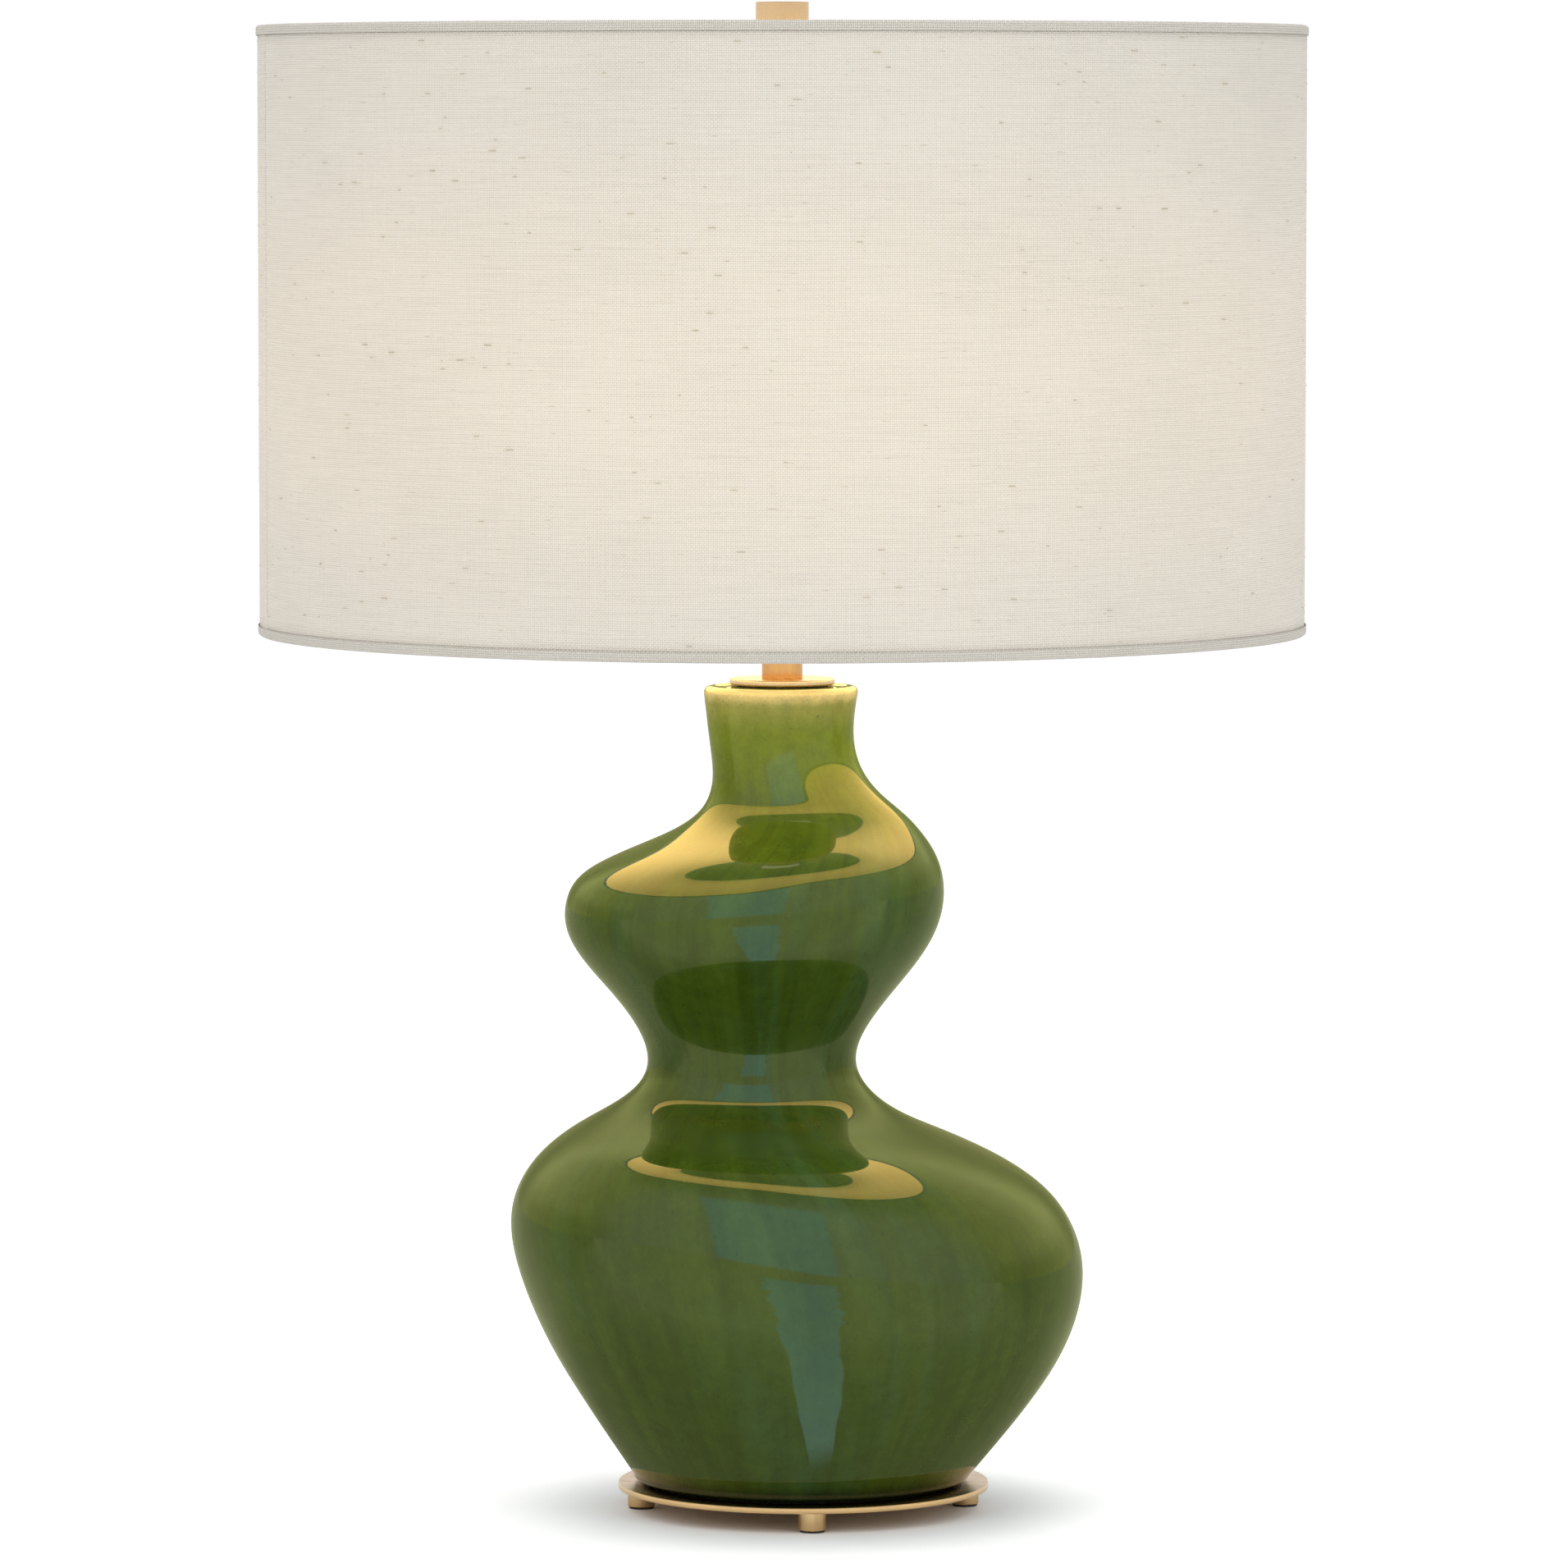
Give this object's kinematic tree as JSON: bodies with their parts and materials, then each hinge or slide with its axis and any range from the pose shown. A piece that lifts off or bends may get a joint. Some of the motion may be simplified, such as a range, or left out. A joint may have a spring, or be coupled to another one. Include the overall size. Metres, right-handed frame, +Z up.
{
  "type": "table lamp",
  "caption": "Table lamp with a leaning double gourd glazed ceramic body on a footed brass plate, and a linen drum shade carried by a harp and clamped by a finial.",
  "frame": {"origin": "on the lamp's rod axis, level with the undersides of the feet", "axes": "+Z up along the rod, +X towards the side the lower gourd leans to, -Y is the front"},
  "size_m": [0.4825, 0.4826, 0.6963],
  "materials": {
    "glazed_ceramic": "glossy reactive glaze",
    "satin_brass": "satin brushed",
    "steel": "zinc plated",
    "felt": "felt",
    "gasket": "matt",
    "linen": "plain linen weave",
    "shade_liner": "translucent sheet",
    "wire": "white powder coat",
    "socket_brass": "polished",
    "card": "plain",
    "insulator": "moulded",
    "bulb_glass": "frosted",
    "bulb_cap": "threaded"
  },
  "bodies": {
    "root": {"base_plate": "satin_brass", "base_gasket": "felt", "rod_washer_bottom": "steel", "rod_nut_bottom": "steel", "cord_bushing": "insulator", "ceramic_body": "glazed_ceramic", "threaded_rod": "steel", "neck_gasket": "gasket", "neck_disc": "satin_brass", "neck_tube": "satin_brass", "tube_cap": "satin_brass", "harp_saddle": "satin_brass", "rod_nut_top": "steel", "harp": "satin_brass", "harp_stud": "satin_brass", "socket_cap": "socket_brass", "socket_cap_screw": "steel", "socket_shell": "socket_brass", "socket_liner": "card", "socket_body": "insulator", "socket_screw_shell": "bulb_cap", "socket_contact": "socket_brass", "switch_collar": "socket_brass", "foot_1": "satin_brass", "foot_pad_1": "felt", "foot_2": "satin_brass", "foot_pad_2": "felt", "foot_3": "satin_brass", "foot_pad_3": "felt", "foot_4": "satin_brass", "foot_pad_4": "felt"},
    "shade": {"shade_top_ring": "wire", "shade_bottom_ring": "wire", "spider_hub": "wire", "spider_arm_1": "wire", "spider_arm_2": "wire", "spider_arm_3": "wire", "shade_panel": "shade_liner", "linen_cover": "linen", "top_hem": "linen", "bottom_hem": "linen"},
    "bulb": {"bulb_glass": "bulb_glass", "bulb_cap": "bulb_cap", "bulb_tip": "socket_brass"},
    "finial": {"finial": "satin_brass"},
    "switch_knob": {"switch_knob": "insulator"},
    "ferrule_left": {"harp_ferrule_left": "satin_brass"},
    "ferrule_right": {"harp_ferrule_right": "satin_brass"}
  },
  "joints": [
    {"name": "shade_turn", "type": "hinge", "parent": "root", "child": "shade", "pos_m": [0, 0, 0.6682], "axis": [0, 0, 1], "continuous": true},
    {"name": "finial_turn", "type": "hinge", "parent": "root", "child": "finial", "pos_m": [0, 0, 0.67075], "axis": [0, 0, 1], "continuous": true},
    {"name": "bulb_turn", "type": "hinge", "parent": "root", "child": "bulb", "pos_m": [0, 0, 0.4506], "axis": [0, 0, 1], "continuous": true},
    {"name": "switch_turn", "type": "hinge", "parent": "root", "child": "switch_knob", "pos_m": [0, 0.021, 0.4408], "axis": [0, 1, 0], "continuous": true},
    {"name": "ferrule_left_lift", "type": "slide", "parent": "root", "child": "ferrule_left", "axis": [0, 0, 1], "range_m": [0, 0.012]},
    {"name": "ferrule_right_lift", "type": "slide", "parent": "root", "child": "ferrule_right", "axis": [0, 0, 1], "range_m": [0, 0.012]}
  ]
}
